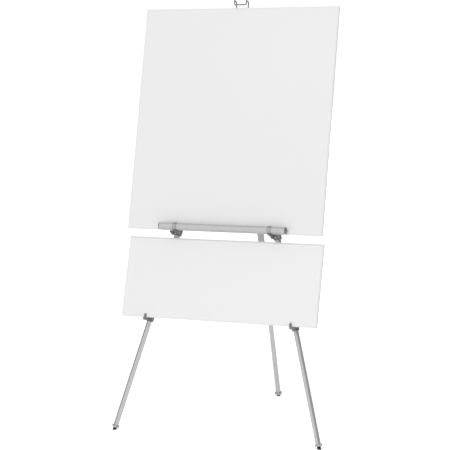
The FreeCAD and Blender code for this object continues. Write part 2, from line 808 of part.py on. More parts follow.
def knob(name, frame, tip_gap):
    """Lobed knob on a screw. Its frame has Z along the screw, outwards, from the tube's axis."""
    body = new_body()
    screw = new_sketch(body, "XY_Plane", tip_gap)
    neck_base = size.outer_rad + size.clamp_wall + size.knob_stand
    circle(screw, 0, 0, size.knob_screw_rad)
    pad(body, screw, neck_base - tip_gap + 1)
    neck = new_sketch(body, "XY_Plane", neck_base)
    circle(neck, 0, 0, size.knob_neck_rad)
    pad(body, neck, size.knob_neck + 1)
    core = new_sketch(body, "XY_Plane", neck_base + size.knob_neck)
    circle(core, 0, 0, size.knob_rad)
    pad(body, core, size.knob_thick)
    lobe = new_sketch(body, "XY_Plane", neck_base + size.knob_neck)
    circle(lobe, size.knob_rad, 0, size.knob_lobe_rad)
    first = pad(body, lobe, size.knob_thick)
    ring_of(body, first, 6)
    keep(name, body, frame)


mast_knob_frame = hub_frame * moved(0, 0, knob_height.value) * turned(Y, 90)
knob("mast_knob", mast_knob_frame, size.middle_rad + size.knob_tip_air)

# ---------------------------------------------------------------- tray

arm_top = size.upper_foot - size.board_thick * math.sin(upper_lean) - size.rest_gap
eye_height = arm_top - size.arm_high / 2
tray_along = face_height_to_leg(eye_height.value)
tray_side = foot_side - tray_along * math.sin(math.radians(leg_splay))
bar_reach = size.upper_reach + size.rest_gap + size.band_wall + size.slide_gap + size.bar_rad
bar_height = size.upper_foot + size.bar_rise - eye_height
boss_face = size.outer_rad + size.clamp_wall + size.boss_stand
eye_back = boss_face + size.face_air


def clamp(name, frame, bore, low, high, boss_radius, pin_radius):
    """Barrel round a leg tube, with a flat boss in front that carries an arm's pin."""
    barrel_rad = bore + size.clamp_wall
    face = barrel_rad + size.boss_stand
    pieces = [
        cylinder(barrel_rad, high - low, z=low),
        cylinder(boss_radius, face, 0, -face, 0, Y),
    ]
    if name.endswith("tray_clamp"):
        # Boss behind, with the knob's screw hole.
        knob_at = size.knob_above
        pieces.append(
            cylinder(size.knob_boss_rad, barrel_rad + size.knob_boss_stand, 0, 0, knob_at, Y)
        )
        back_cuts = [cylinder(size.knob_screw_rad + size.fit_gap, 40, 0, 0, knob_at, Y)]
    else:
        # Split barrel, pinched by a screw across its ears.
        pieces.append(
            box(-size.ear_half, size.ear_half, 0, barrel_rad + size.ear_stand, low + 2, high - 2)
        )
        screw_at = barrel_rad + size.screw_stand
        back_cuts = [
            box(-size.ear_slot_half, size.ear_slot_half, 0, 60, low - 1, high + 1),
            cylinder(size.screw_rad + size.fit_gap, 40, -20, screw_at, 0, X),
        ]
    solid = cut(
        fuse(*pieces),
        cylinder(bore + size.fit_gap, high - low + 2, z=low - 1),
        cylinder(pin_radius + size.fit_gap, face, 0, -face - 1, 0, Y),
        *back_cuts,
    )
    keep(name, solid, frame)


def arm_pin(name, frame, bore, eye_thick, pin_radius, head_radius, head):
    """Headed pin from the clamp's boss through the arm's eye."""
    face = bore + size.clamp_wall + size.boss_stand
    root = bore + size.face_air
    under_head = face + 2 * size.face_air + eye_thick
    shaft = cylinder(pin_radius, under_head - root, 0, root, 0, Y)
    cap = cylinder(head_radius, head, 0, under_head, 0, Y)
    keep(name, fuse(shaft, cap), frame * turned(Z, 180))


def arm_frame(side, height, offset_side):
    """Face-parallel frame at an arm's pin, on the axis of a front leg."""
    s = -1 if side == "left" else 1
    return face_frame * moved(s * offset_side, 0, height)


def pin_holes(body, back, thick, pin_radius, head_radius, depth):
    """Bore for the pin through an arm's wall, and a recess for its head from the arm's front."""
    hole = new_sketch(body, "XZ_Plane", back + thick + 1)
    circle(hole, 0, 0, pin_radius + size.fit_gap)
    cutter = body.newObject("PartDesign::Pocket", "pocket")
    cutter.Profile = hole
    set_size(cutter, Length=thick + 2)
    head_room = new_sketch(body, "XZ_Plane", back + thick + depth)
    circle(head_room, 0, 0, head_radius + size.head_air)
    recess = body.newObject("PartDesign::Pocket", "pocket")
    recess.Profile = head_room
    set_size(recess, Length=depth)


def tray_arm(name, frame, inboard, bar_gap):
    """Arm under the upper board: a block on its pin, a nose, and a band round the tray bar."""
    body = new_body()
    low = -size.arm_high / 2
    top = size.arm_high / 2
    block = new_sketch(body, "YZ_Plane")
    polygon(
        block,
        [
            (-eye_back, low),
            (-eye_back, top),
            (-size.arm_reach, top),
            (-size.arm_reach, top - size.arm_front_high),
            (-(eye_back + size.arm_slope), low),
        ],
    )
    pad(body, block, 2 * size.arm_half, both_ways=True)
    open_front = size.arm_reach + bar_reach
    pin_holes(
        body, eye_back, size.eye_thick, size.eye_pin_rad, size.eye_pin_head_rad, open_front
    )
    band_rad = size.bar_rad + size.slide_gap + size.band_wall
    middle = inboard * size.nose_inboard
    nose = new_sketch(body, "YZ_Plane", middle)
    root = size.arm_reach - size.nose_root
    front = bar_reach + size.nose_ahead
    polygon(
        nose,
        [
            (-root, top - size.nose_high),
            (-root, top),
            (-(bar_reach - band_rad), top),
            (-(bar_reach - band_rad + size.nose_lip), top + size.nose_lip),
            (-front, top + size.nose_lip),
            (-front, top - size.nose_brow),
            (-(bar_reach - size.nose_chin), top - size.nose_high),
        ],
    )
    pad(body, nose, 2 * size.nose_half, both_ways=True)
    band = new_sketch(body, "YZ_Plane", middle)
    circle(band, -bar_reach, bar_height, band_rad)
    pad(body, band, 2 * size.band_half, both_ways=True)
    through = new_sketch(body, "YZ_Plane")
    circle(through, -bar_reach, bar_height, size.bar_rad + bar_gap)
    pocket_through(body, through)
    keep(name, body, frame)


for side in ("left", "right"):
    clamp_frame = leg_frames[side] * moved(0, 0, tray_along)
    clamp(
        f"{side}_tray_clamp",
        clamp_frame,
        size.outer_rad,
        -size.clamp_below,
        size.clamp_above,
        size.boss_rad,
        size.eye_pin_rad,
    )
    arm_pin(
        f"{side}_tray_pin",
        clamp_frame,
        size.outer_rad,
        size.eye_thick,
        size.eye_pin_rad,
        size.eye_pin_head_rad,
        size.eye_pin_head,
    )
    knob_frame = clamp_frame * moved(0, 0, size.knob_above.value) * turned(X, -90)
    knob(f"{side}_tray_knob", knob_frame, size.outer_rad + size.knob_tip_air)
    tray_arm(
        f"{side}_tray_arm",
        arm_frame(side, eye_height.value, tray_side),
        1 if side == "left" else -1,
        size.fit_gap if side == "left" else size.slide_gap,
    )

bar_frame = face_frame * moved(0, -bar_reach.value, eye_height.value + bar_height.value)
bar_half = size.bar_length / 2
bar = cut(
    cylinder(size.bar_rad, size.bar_length, -bar_half, 0, 0, X),
    cylinder(size.bar_rad - size.bar_wall, size.bar_length + 2, -bar_half - 1, 0, 0, X),
)
keep("tray_bar", bar, bar_frame)


def bar_end(outward):
    """Cap at one end of the bar, seen from the bar's middle."""
    axis = X * outward
    plug_rad = size.bar_rad - size.bar_wall - size.fit_gap
    start = outward * (bar_half - size.bar_cap_plug)
    plug = cylinder(plug_rad, size.bar_cap_plug + 1, start, 0, 0, axis)
    flange = cylinder(size.bar_cap_rad, size.bar_cap / 2, outward * bar_half, 0, 0, axis)
    crown_at = outward * (bar_half + size.bar_cap / 2)
    crown = cone(size.bar_cap_rad, size.bar_cap_rad - 1.2, size.bar_cap / 2, crown_at, 0, 0, axis)
    return fuse(plug, flange, crown)


keep("tray_bar_caps", group(bar_end(-1), bar_end(1)), bar_frame)

# ---------------------------------------------------------------- lower board's clips

lower_lean = math.radians(size.lower_lean.value)
clip_top = size.lower_foot - size.board_thick * math.sin(lower_lean) - size.rest_gap
clip_height = clip_top - size.clip_high / 2
clip_along = face_height_to_leg(clip_height.value)
clip_side = foot_side - clip_along * math.sin(math.radians(leg_splay))
clip_eye_back = size.middle_rad + size.clamp_wall + size.boss_stand + size.face_air


def clip_arm(name, frame, inboard):
    """Arm under the lower board: an eye on its pin, a beam, and a tapered lip in front."""
    body = new_body()
    low = -size.clip_high / 2
    top = size.clip_high / 2
    lip_in = size.lower_reach + size.lip_gap
    lip_out = lip_in + size.clip_lip
    heel_end = clip_eye_back + size.clip_heel_long
    beam = new_sketch(body, "YZ_Plane")
    polygon(
        beam,
        [
            (-clip_eye_back, low - size.clip_heel),
            (-clip_eye_back, top),
            (-lip_out, top),
            (-lip_out, top - size.clip_front_high),
            (-(lip_out - size.clip_chin), low),
            (-(heel_end + 3 * size.clip_heel), low),
            (-heel_end, low - size.clip_heel),
        ],
    )
    pad(body, beam, 2 * size.clip_half, both_ways=True)
    eye = new_sketch(body, "XZ_Plane", clip_eye_back)
    circle(eye, 0, 0, size.clip_eye_rad)
    pad(body, eye, size.clip_eye_thick)
    lip = new_sketch(body, "XZ_Plane", lip_in)
    middle = inboard * size.lip_inboard
    root = size.clip_front_high / 2
    polygon(
        lip,
        [
            (middle - size.lip_foot_half, top - root),
            (middle - size.lip_foot_half, top + 1),
            (middle - size.lip_top_half, top + size.clip_lip_rise),
            (middle + size.lip_top_half, top + size.clip_lip_rise),
            (middle + size.lip_foot_half, top + 1),
            (middle + size.lip_foot_half, top - root),
        ],
    )
    pad(body, lip, size.clip_lip)
    pin_holes(
        body,
        clip_eye_back,
        size.clip_eye_thick,
        size.clip_pin_rad,
        size.clip_pin_head_rad,
        size.clip_head_room,
    )
    keep(name, body, frame)


def clip_screw(name, frame):
    """Cap screw that pinches the ears behind a clip's clamp."""
    back = size.middle_rad + size.clamp_wall + size.screw_stand
    length = 2 * size.ear_half + size.fit_gap
    screw = cylinder(size.screw_rad, length, -size.ear_half, back, 0, X)
    head = cylinder(size.screw_head_rad, size.screw_head, size.ear_half + size.fit_gap, back, 0, X)
    keep(name, fuse(screw, head), frame)


for side in ("left", "right"):
    clamp_frame = leg_frames[side] * moved(0, 0, clip_along)
    clamp(
        f"{side}_clip_clamp",
        clamp_frame,
        size.middle_rad,
        -size.clip_clamp_half,
        size.clip_clamp_half,
        size.clip_boss_rad,
        size.clip_pin_rad,
    )
    arm_pin(
        f"{side}_clip_pin",
        clamp_frame,
        size.middle_rad,
        size.clip_eye_thick,
        size.clip_pin_rad,
        size.clip_pin_head_rad,
        size.clip_pin_head,
    )
    clip_screw(f"{side}_clip_screw", clamp_frame)
    clip_arm(
        f"{side}_clip_arm",
        arm_frame(side, clip_height.value, clip_side),
        1 if side == "left" else -1,
    )

# ---------------------------------------------------------------- boards


def board(name, foot, reach, lean, height):
    """Rigid board, its lower front edge on the arms, leaning back from the front legs' plane."""
    body = new_body()
    outline = new_sketch(body, "YZ_Plane")
    polygon(outline, [(0, 0), (size.board_thick, 0), (size.board_thick, height), (0, height)])
    pad(body, outline, size.board_width, both_ways=True)
    keep(name, body, face_frame * moved(0, -reach.value, foot.value) * turned(X, -lean.value))


board("upper_board", size.upper_foot, size.upper_reach, size.upper_lean, size.upper_height)
board("lower_board", size.lower_foot, size.lower_reach, size.lower_lean, size.lower_height)

# ---------------------------------------------------------------- checks and export

doc.recompute()
for obj in doc.Objects:
    if "Invalid" in obj.State or "Error" in obj.State:
        raise RuntimeError(f"{obj.Name} ({obj.Label}) failed: {obj.State}")
for name, obj in nodes.items():
    if obj.Shape.isNull() or not obj.Shape.isValid() or not obj.Shape.Solids:
        raise RuntimeError(f"{name} has no valid solid")

os.makedirs("parts", exist_ok=True)
for name, obj in nodes.items():
    obj.Shape.exportStep(f"parts/{name}.step")
print(len(nodes), "sub-parts written")
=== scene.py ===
import json
import math

import bmesh
import bpy
from mathutils import Matrix, Vector


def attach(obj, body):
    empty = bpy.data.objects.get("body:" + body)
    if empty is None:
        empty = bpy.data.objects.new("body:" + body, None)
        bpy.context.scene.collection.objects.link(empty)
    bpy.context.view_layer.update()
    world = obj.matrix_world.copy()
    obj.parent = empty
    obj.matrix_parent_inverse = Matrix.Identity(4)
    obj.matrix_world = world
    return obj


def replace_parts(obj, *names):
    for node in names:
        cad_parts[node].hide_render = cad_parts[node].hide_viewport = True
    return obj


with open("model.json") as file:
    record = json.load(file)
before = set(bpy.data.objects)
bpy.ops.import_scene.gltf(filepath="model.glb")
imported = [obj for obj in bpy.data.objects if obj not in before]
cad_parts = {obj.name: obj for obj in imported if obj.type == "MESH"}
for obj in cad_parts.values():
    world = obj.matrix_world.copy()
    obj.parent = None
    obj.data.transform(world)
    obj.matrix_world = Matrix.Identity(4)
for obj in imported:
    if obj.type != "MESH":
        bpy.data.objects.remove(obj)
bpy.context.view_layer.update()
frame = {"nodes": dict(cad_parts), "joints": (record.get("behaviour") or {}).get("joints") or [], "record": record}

# Three-legged telescopic display easel with two rigid boards, in a plain white studio.
# Every length is in metres. Leg directions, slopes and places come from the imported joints.

joints = {joint["name"]: joint for joint in frame["joints"]}
nodes = frame["nodes"]
bodies = frame["record"]["behaviour"]["bodies"]
slots = {part["node"]: part["material_slot"] for part in frame["record"]["subparts"]}

SIDES = ("left", "right", "rear")
FRONT_SIDES = ("left", "right")


def joint_point(name):
    return Vector(joints[name]["pos_m"])


def joint_axis(name):
    return Vector(joints[name]["axis"]).normalized()


def extents(node, turn):
    """Lowest and highest corners of a node, in turned axes."""
    local = [turn.transposed() @ vertex.co for vertex in nodes[node].data.vertices]
    low = Vector([min(point[i] for point in local) for i in range(3)])
    high = Vector([max(point[i] for point in local) for i in range(3)])
    return low, high


up_the_face = joint_axis("mast_raise")
leg_up = {side: -joint_axis(f"{side}_leg_extend") for side in SIDES}
forward = joint_axis("left_leg_fold")
across = Vector((1, 0, 0))

# ---------------------------------------------------------------- shader node helpers


def new_material(name):
    material = bpy.data.materials.new(name)
    material.use_nodes = True
    tree = material.node_tree
    shader = tree.nodes["Principled BSDF"]
    return material, tree, shader


def add_node(tree, kind, **settings):
    node = tree.nodes.new(kind)
    for key, value in settings.items():
        setattr(node, key, value)
    return node


def link(tree, source, socket, target, target_socket):
    tree.links.new(source.outputs[socket], target.inputs[target_socket])


def object_coordinates(tree, rotation=(0, 0, 0)):
    coordinates = add_node(tree, "ShaderNodeTexCoord")
    mapping = add_node(tree, "ShaderNodeMapping")
    mapping.inputs["Rotation"].default_value = rotation
    link(tree, coordinates, "Object", mapping, "Vector")
    return mapping


def noise(tree, vector, scale, detail, roughness):
    node = add_node(tree, "ShaderNodeTexNoise")
    node.inputs["Scale"].default_value = scale
    node.inputs["Detail"].default_value = detail
    node.inputs["Roughness"].default_value = roughness
    link(tree, vector, "Vector", node, "Vector")
    return node


def ramp(tree, source, socket, low, high, low_value, high_value):
    """Map a texture's spread onto a range of values."""
    node = add_node(tree, "ShaderNodeMapRange")
    node.inputs["From Min"].default_value = low
    node.inputs["From Max"].default_value = high
    node.inputs["To Min"].default_value = low_value
    node.inputs["To Max"].default_value = high_value
    link(tree, source, socket, node, "Value")
    return node


def colour_mix(tree):
    """Mix node for colours, with its two colour inputs."""
    node = add_node(tree, "ShaderNodeMix", data_type="RGBA")
    return node, [socket for socket in node.inputs if socket.type == "RGBA"]


def colour_output(node):
    return next(socket for socket in node.outputs if socket.type == "RGBA")


def tinted(tree, texture, socket, low, high, dark, light):
    """Colour that drifts between two tints with a texture, over a spread of its values."""
    node, colours = colour_mix(tree)
    colours[0].default_value = (*dark, 1)
    colours[1].default_value = (*light, 1)
    link(tree, ramp(tree, texture, socket, low, high, 0, 1), "Result", node, "Factor")
    return colour_output(node)


def bumped(tree, shader, source, socket, strength, distance):
    node = add_node(tree, "ShaderNodeBump")
    node.inputs["Strength"].default_value = strength
    node.inputs["Distance"].default_value = distance
    link(tree, source, socket, node, "Height")
    link(tree, node, "Normal", shader, "Normal")


def along_axis(tree, coordinates, axis):
    """How far each point lies along an axis."""
    place = add_node(tree, "ShaderNodeVectorMath", operation="DOT_PRODUCT")
    place.inputs[1].default_value = axis
    link(tree, coordinates, "Vector", place, 0)
    return place


def grey(value, tint=0.0):
    return (value, value, value * (1 + tint))


# ---------------------------------------------------------------- materials


LINE_STRETCH = 0.012  # a drawing line's width over its length


def tube_material(name, direction, tone, metallic=0.72, rough_low=0.30):
    """Satin anodised aluminium: drawing lines along the tube, soft blotches, handling marks."""
    material, tree, shader = new_material(name)
    direction = Vector(direction).normalized()
    turn = direction.rotation_difference(Vector((0, 0, 1))).to_euler()
    along = object_coordinates(tree, rotation=turn)
    stretched = add_node(tree, "ShaderNodeMapping")
    stretched.inputs["Scale"].default_value = (1.0, 1.0, LINE_STRETCH)
    link(tree, along, "Vector", stretched, "Vector")
    lines = noise(tree, stretched, 2600.0, 3.0, 0.6)
    blotches = noise(tree, along, 26.0, 5.0, 0.6)
    marks = noise(tree, stretched, 420.0, 2.0, 0.4)
    tint = tinted(tree, blotches, "Fac", 0.3, 0.7, grey(tone * 0.93, 0.012), grey(tone, 0.016))
    tree.links.new(tint, shader.inputs["Base Color"])
    shader.inputs["Metallic"].default_value = metallic
    rough = add_node(tree, "ShaderNodeMath", operation="ADD")
    line_rough = ramp(tree, lines, "Fac", 0.3, 0.7, rough_low, rough_low + 0.10)
    link(tree, line_rough, "Result", rough, 0)
    link(tree, ramp(tree, marks, "Fac", 0.55, 0.75, 0.0, 0.10), "Result", rough, 1)
    link(tree, rough, "Value", shader, "Roughness")
    shader.inputs["Anisotropic"].default_value = 0.35
    bumped(tree, shader, lines, "Fac", 0.18, 0.00006)
    return material


WORN_LIGHTER = 2.2  # a rubbed edge against the plastic's light tint


def plastic_material(name, dark, light, roughness=0.46, wear=0.0):
    """Moulded plastic: spark-eroded grain, slow colour drift and slightly polished patches."""
    material, tree, shader = new_material(name)
    coordinates = object_coordinates(tree)
    fine = noise(tree, coordinates, 1500.0, 3.0, 0.65)
    slow = noise(tree, coordinates, 38.0, 4.0, 0.55)
    rub = noise(tree, coordinates, 140.0, 5.0, 0.7)
    colour = tinted(tree, slow, "Fac", 0.32, 0.68, dark, light)
    if wear:
        edge = add_node(tree, "ShaderNodeNewGeometry")
        edge_amount = ramp(tree, edge, "Pointiness", 0.52, 0.60, 0.0, wear)
        worn = add_node(tree, "ShaderNodeMath", operation="MULTIPLY")
        link(tree, edge_amount, "Result", worn, 0)
        link(tree, ramp(tree, rub, "Fac", 0.35, 0.65, 0.2, 1), "Result", worn, 1)
        lighter, colours = colour_mix(tree)
        tree.links.new(colour, colours[0])
        colours[1].default_value = (*[min(1, channel * WORN_LIGHTER) for channel in light], 1)
        link(tree, worn, "Value", lighter, "Factor")
        colour = colour_output(lighter)
    tree.links.new(colour, shader.inputs["Base Color"])
    gloss = ramp(tree, rub, "Fac", 0.35, 0.65, roughness - 0.05, roughness + 0.09)
    link(tree, gloss, "Result", shader, "Roughness")
    bumped(tree, shader, fine, "Fac", 0.35, 0.00012)
    return material


def rubber_material(name):
    """Black rubber with a fine tooth and a little floor dust."""
    material, tree, shader = new_material(name)
    coordinates = object_coordinates(tree)
    fine = noise(tree, coordinates, 1100.0, 4.0, 0.7)
    dust = noise(tree, coordinates, 160.0, 5.0, 0.65)
    tint = tinted(tree, dust, "Fac", 0.45, 0.75, grey(0.006), grey(0.018))
    tree.links.new(tint, shader.inputs["Base Color"])
    link(tree, ramp(tree, dust, "Fac", 0.3, 0.7, 0.62, 0.82), "Result", shader, "Roughness")
    bumped(tree, shader, fine, "Fac", 0.5, 0.0002)
    return material


def steel_material(name, tone, roughness, powder=False):
    """Zinc-plated pins, or the hook wire's dark powder coat."""
    material, tree, shader = new_material(name)
    coordinates = object_coordinates(tree)
    fine = noise(tree, coordinates, 1900.0 if powder else 900.0, 4.0, 0.6)
    slow = noise(tree, coordinates, 90.0, 4.0, 0.6)
    tint = tinted(tree, slow, "Fac", 0.3, 0.7, grey(tone * 0.82), grey(tone))
    tree.links.new(tint, shader.inputs["Base Color"])
    shader.inputs["Metallic"].default_value = 0.25 if powder else 0.95
    gloss = ramp(tree, slow, "Fac", 0.3, 0.7, roughness, roughness + 0.12)
    link(tree, gloss, "Result", shader, "Roughness")
    bumped(tree, shader, fine, "Fac", 0.4 if powder else 0.12, 0.0001)
    return material


RIM_WIDTH = 0.0045
RIM_FADE = 0.003
# How much painted shade darkens each board's left, right, lower and upper rims: the darker right rims stand in for
# the shaded edge side, the lower board's top for the shadow of the upper board.
RIM_PAINTED_SHADE = {"upper_board": (0.03, 0.07, 0.03, 0.03), "lower_board": (0.03, 0.11, 0.03, 0.17)}


def board_normal(node):
    """A board's normal, from its own largest face."""
    mesh = nodes[node].data
    largest = max(mesh.polygons, key=lambda polygon: polygon.area)
    return largest.normal.copy()


def board_axes(node):
    """Turn from a board's width, height and thickness axes to the row frame, and its extents."""
    front = board_normal(node)
    if front.dot(forward) < 0:
        front.negate()
    up = front.cross(across)
    turn = Matrix((across, up, front)).transposed()
    return turn, *extents(node, turn)


def board_rim_painted_shade(tree, coordinates, node):
    """How much painted shade darkens each point for lying in the board's rim."""
    turn, low, high = board_axes(node)
    sides = (
        (turn.col[0], low.x, 1),
        (turn.col[0], high.x, -1),
        (turn.col[1], low.y, 1),
        (turn.col[1], high.y, -1),
    )
    total = None
    for (axis, limit, inward), depth in zip(sides, RIM_PAINTED_SHADE[node]):
        place = along_axis(tree, coordinates, axis)
        inner = limit + inward * (RIM_WIDTH + RIM_FADE)
        outer = limit + inward * RIM_WIDTH
        edge = ramp(tree, place, "Value", inner, outer, 0.0, depth)
        if total is not None:
            larger = add_node(tree, "ShaderNodeMath", operation="MAXIMUM")
            link(tree, total, 0, larger, 0)
            link(tree, edge, "Result", larger, 1)
            edge = larger
        total = edge
    return total


def board_material(name, face_normal, tone):
    """Laminated board: satin face with a faint orange-peel and a rim darkened by painted shade, foam on the edges.
    """
    material, tree, shader = new_material(name)
    coordinates = object_coordinates(tree)
    peel = noise(tree, coordinates, 420.0, 3.0, 0.5)
    mottle = noise(tree, coordinates, 3.2, 5.0, 0.5)
    cells = add_node(tree, "ShaderNodeTexVoronoi")
    cells.inputs["Scale"].default_value = 1300.0
    link(tree, coordinates, "Vector", cells, "Vector")
    geometry = add_node(tree, "ShaderNodeNewGeometry")
    facing = add_node(tree, "ShaderNodeVectorMath", operation="DOT_PRODUCT")
    facing.inputs[1].default_value = Vector(face_normal).normalized()
    transform = add_node(
        tree,
        "ShaderNodeVectorTransform",
        vector_type="NORMAL",
        convert_from="WORLD",
        convert_to="OBJECT",
    )
    link(tree, geometry, "True Normal", transform, "Vector")
    link(tree, transform, "Vector", facing, 0)
    flat = add_node(tree, "ShaderNodeMath", operation="ABSOLUTE")
    link(tree, facing, "Value", flat, 0)
    is_face = ramp(tree, flat, "Value", 0.80, 0.95, 0.0, 1.0)
    laminate = tinted(tree, mottle, "Fac", 0.3, 0.7, grey(tone * 0.985), grey(tone))
    core = tinted(tree, cells, "Distance", 0.1, 0.6, grey(tone * 0.60), grey(tone * 0.86))
    both, colours = colour_mix(tree)
    tree.links.new(core, colours[0])
    tree.links.new(laminate, colours[1])
    link(tree, is_face, "Result", both, "Factor")
    # Painted shade: the rims are darkened towards black, most on the right and on the lower board's top.
    painted_rim_shade, colours = colour_mix(tree)
    tree.links.new(colour_output(both), colours[0])
    colours[1].default_value = (0, 0, 0, 1)
    link(tree, board_rim_painted_shade(tree, coordinates, name), 0, painted_rim_shade, "Factor")
    tree.links.new(colour_output(painted_rim_shade), shader.inputs["Base Color"])
    face_rough = ramp(tree, mottle, "Fac", 0.3, 0.7, 0.40, 0.48)
    rough = add_node(tree, "ShaderNodeMix", data_type="FLOAT")
    rough.inputs["A"].default_value = 0.9
    link(tree, is_face, "Result", rough, "Factor")
    link(tree, face_rough, "Result", rough, "B")
    tree.links.new(rough.outputs["Result"], shader.inputs["Roughness"])
    bumped(tree, shader, peel, "Fac", 0.10, 0.00006)
    return material


def foam_material(name, tone):
    """Fine closed-cell foam, as it shows on a cut edge."""
    material, tree, shader = new_material(name)
    coordinates = object_coordinates(tree)
    cells = add_node(tree, "ShaderNodeTexVoronoi")
    cells.inputs["Scale"].default_value = 1600.0
    link(tree, coordinates, "Vector", cells, "Vector")
    slow = noise(tree, coordinates, 60.0, 4.0, 0.6)
    tint = tinted(tree, slow, "Fac", 0.3, 0.7, grey(tone * 0.8), grey(tone))
    tree.links.new(tint, shader.inputs["Base Color"])
    shader.inputs["Roughness"].default_value = 0.92
    bumped(tree, shader, cells, "Distance", 0.6, 0.0004)
    return material


LOCK_RING = 0.012
RING_DARKER = 0.45
RING_FADE = 0.0006


def lock_material(name, base, axis, dark, light):
    """Twist lock: darker in a band LOCK_RING high at its foot, over a lighter barrel."""
    material = plastic_material(name, dark, light, wear=0.25)
    tree = material.node_tree
    shader = tree.nodes["Principled BSDF"]
    barrel = shader.inputs["Base Color"].links[0].from_socket
    coordinates = object_coordinates(tree)
    height = along_axis(tree, coordinates, axis)
    ring_top = base.dot(axis) + LOCK_RING
    above = ramp(tree, height, "Value", ring_top - RING_FADE, ring_top, 0.0, 1.0)
    both, colours = colour_mix(tree)
    colours[0].default_value = (*[channel * RING_DARKER for channel in dark], 1)
    tree.links.new(barrel, colours[1])
    link(tree, above, "Result", both, "Factor")
    tree.links.new(colour_output(both), shader.inputs["Base Color"])
    return material


TUBE_TONE = 0.49
BOARD_TONE = 0.666
LOWER_BOARD_LIGHTER = 1.03
materials = {
    "dark_plastic": plastic_material(
        "dark_plastic", grey(0.085, 0.02), grey(0.125, 0.02), wear=0.35
    ),
    "lock_plastic": plastic_material(
        "lock_plastic", grey(0.33, 0.02), grey(0.40, 0.02), wear=0.25
    ),
    "tip_rubber": rubber_material("tip_rubber"),
    "bush_plastic": plastic_material("bush_plastic", (0.5, 0.5, 0.47), (0.58, 0.58, 0.55), 0.5),
    "hook_steel": steel_material("hook_steel", 0.17, 0.42, powder=True),
    "pin_steel": steel_material("pin_steel", 0.52, 0.28),
}
for side in SIDES:
    materials[f"{side}_tube"] = tube_material(f"{side}_tube", leg_up[side], TUBE_TONE)
materials["mast_metal"] = tube_material("mast_metal", up_the_face, TUBE_TONE)
materials["bar_metal"] = tube_material("bar_metal", across, TUBE_TONE * 0.94, 0.22, 0.52)
materials["band_metal"] = tube_material("band_metal", across, TUBE_TONE * 0.66, 0.40, 0.42)
materials["foam_core"] = foam_material("foam_core", BOARD_TONE * 0.62)
for side in SIDES:
    lock = f"{side}_upper_lock"
    materials[lock] = lock_material(
        lock, joint_point(f"{lock}_turn"), leg_up[side], grey(0.36, 0.02), grey(0.42, 0.02)
    )
for board in ("upper_board", "lower_board"):
    tone = BOARD_TONE * (LOWER_BOARD_LIGHTER if board == "lower_board" else 1)
    materials[board] = board_material(board, board_normal(board), tone)


def material_for(node):
    """Each node's finish; tubes and boards have one that follows their own direction."""
    if node in materials:
        return materials[node]
    if node == "mast_tube":
        return materials["mast_metal"]
    if node == "tray_bar":
        return materials["bar_metal"]
    if slots[node] == "tube_silver":
        return materials[node.split("_")[0] + "_tube"]
    return materials[slots[node]]


def soften(obj, width):
    """Small rounded edges, so that moulded and cut edges catch the light."""
    bevel = obj.modifiers.new("edge_round", "BEVEL")
    bevel.width = width
    bevel.segments = 2
    bevel.limit_method = "ANGLE"
    bevel.angle_limit = math.radians(35)
    bevel.harden_normals = False
    bevel.use_clamp_overlap = True


# Width of the rounding, by how a node's name ends.
EDGE_ROUNDING = {
    "hub": 0.0007,
    "hook_block": 0.0009,
    "mast_plug": 0.0005,
    "knuckle": 0.0004,
    "tray_clamp": 0.0005,
    "tray_arm": 0.0005,
    "clip_clamp": 0.0004,
    "clip_arm": 0.0004,
    "upper_lock": 0.00025,
    "foot_lock": 0.0002,
    "bush": 0.0003,
    "bar_caps": 0.0003,
    "tube": 0.00012,
    "tray_bar": 0.00012,
}
for name, obj in nodes.items():
    obj.data.materials.clear()
    obj.data.materials.append(material_for(name))
    for ending, width in EDGE_ROUNDING.items():
        if name.endswith(ending):
            soften(obj, width)

# ---------------------------------------------------------------- detailed pieces
# Radii, heights and widths below are in millimetres; MM turns them into metres.

MM = 0.001
body_of = {node: body for body, members in bodies.items() for node in members}


def axis_turn(axis):
    """Rotation whose Z runs along an axis."""
    return axis.to_track_quat("Z", "Y").to_matrix()


def round_span(node, axis):
    """A round node's centre line: where it starts along an axis, and its length."""
    turn = axis_turn(axis)
    low, high = extents(node, turn)
    middle = (low + high) / 2
    return turn @ Vector((middle.x, middle.y, low.z)), high.z - low.z


def add_rings(shape, start, axis, rings, segments=40, closed=False):
    """Solid of rings round an axis, each a height and a radius, in millimetres.

    A radius may be a function of the angle. A closed run of rings joins its last to its first.
    """
    turn = axis_turn(axis)
    loops = []
    for height, radius in rings:
        loop = []
        for i in range(segments):
            angle = 2 * math.pi * i / segments
            reach = radius(angle) if callable(radius) else radius
            point = Vector((reach * math.cos(angle), reach * math.sin(angle), height))
            loop.append(shape.verts.new(turn @ (point * MM) + start))
        loops.append(loop)
    pairs = list(zip(loops, loops[1:]))
    if closed:
        pairs.append((loops[-1], loops[0]))
    for low, high in pairs:
        for i in range(segments):
            j = (i + 1) % segments
            shape.faces.new((low[i], low[j], high[j], high[i]))
    if closed:
        return
    for loop, (height, radius) in ((loops[0], rings[0]), (loops[-1], rings[-1])):
        centre = shape.verts.new(turn @ (Vector((0, 0, height)) * MM) + start)
        for i in range(segments):
            shape.faces.new((loop[i], loop[(i + 1) % segments], centre))


def new_piece(name, shape, body, material, sharp=30):
    """Finished mesh object that rides on a body."""
    bmesh.ops.recalc_face_normals(shape, faces=shape.faces)
    mesh = bpy.data.meshes.new(name)
    shape.to_mesh(mesh)
    shape.free()
    for polygon in mesh.polygons:
        polygon.use_smooth = True
    mesh.set_sharp_from_angle(angle=math.radians(sharp))
    mesh.materials.append(material)
    obj = bpy.data.objects.new(name, mesh)
    bpy.context.scene.collection.objects.link(obj)
    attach(obj, body)
    return obj


def finished(name, shape, node, slot, sharp=30):
    """Piece that rides with a node and has its slot's own finish."""
    return new_piece(name, shape, body_of[node], materials[slot], sharp)


KNOB_CORE = 11.0  # radius between the lobes
KNOB_LOBE = 3.5
KNOB_THICK = 11.0
KNOB_NECK = 5.0
THREAD_PITCH = 1.0
THREAD_STEPS = 8  # rings in each turn


